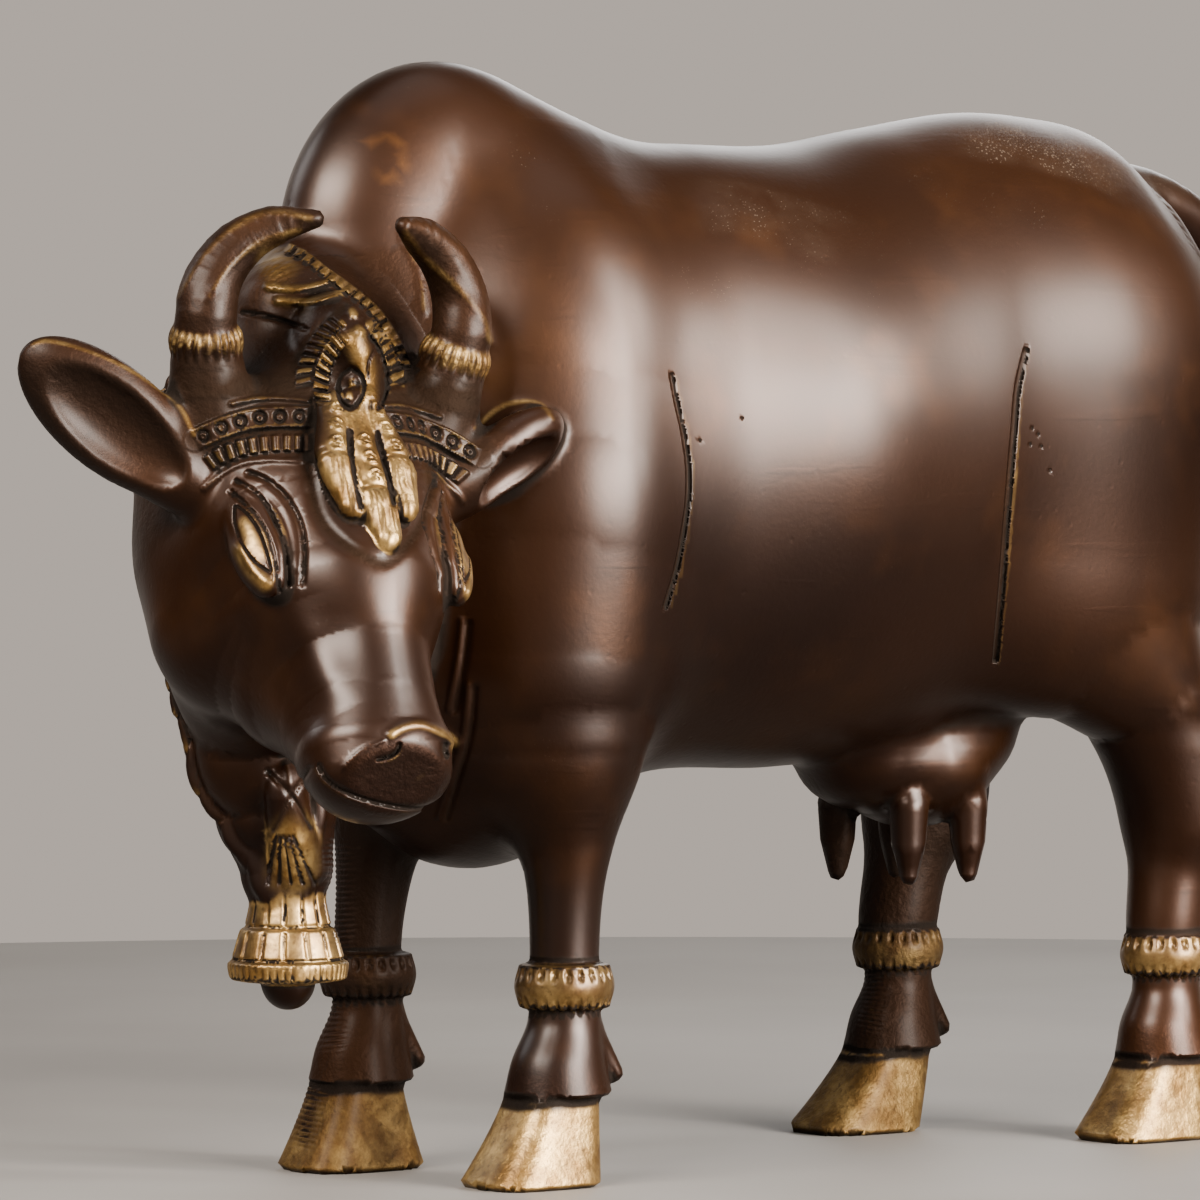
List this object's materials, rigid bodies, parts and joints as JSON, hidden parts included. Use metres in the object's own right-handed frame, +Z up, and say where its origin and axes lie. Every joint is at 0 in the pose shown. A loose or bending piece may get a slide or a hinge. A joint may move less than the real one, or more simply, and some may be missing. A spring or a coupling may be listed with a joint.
{
  "type": "cow statue",
  "caption": "Cast brass statue of a humped cow standing with its head turned and lowered, with a horned headdress, a neck garland, a bell and anklets.",
  "frame": {"origin": "middle of the bounding box in plan, on the floor plane under the hooves", "axes": "+Z up; the cow faces -X with its hump over the front legs, its left flank faces -Y and its head is turned towards -Y"},
  "size_m": [0.2898, 0.105, 0.1988],
  "materials": {
    "bronze": "cast brass with a dark brown patina, satin gloss, rubbed back to golden brass on the ornaments, hooves and raised edges"
  },
  "bodies": {
    "root": {"cow": "bronze"}
  },
  "joints": []
}
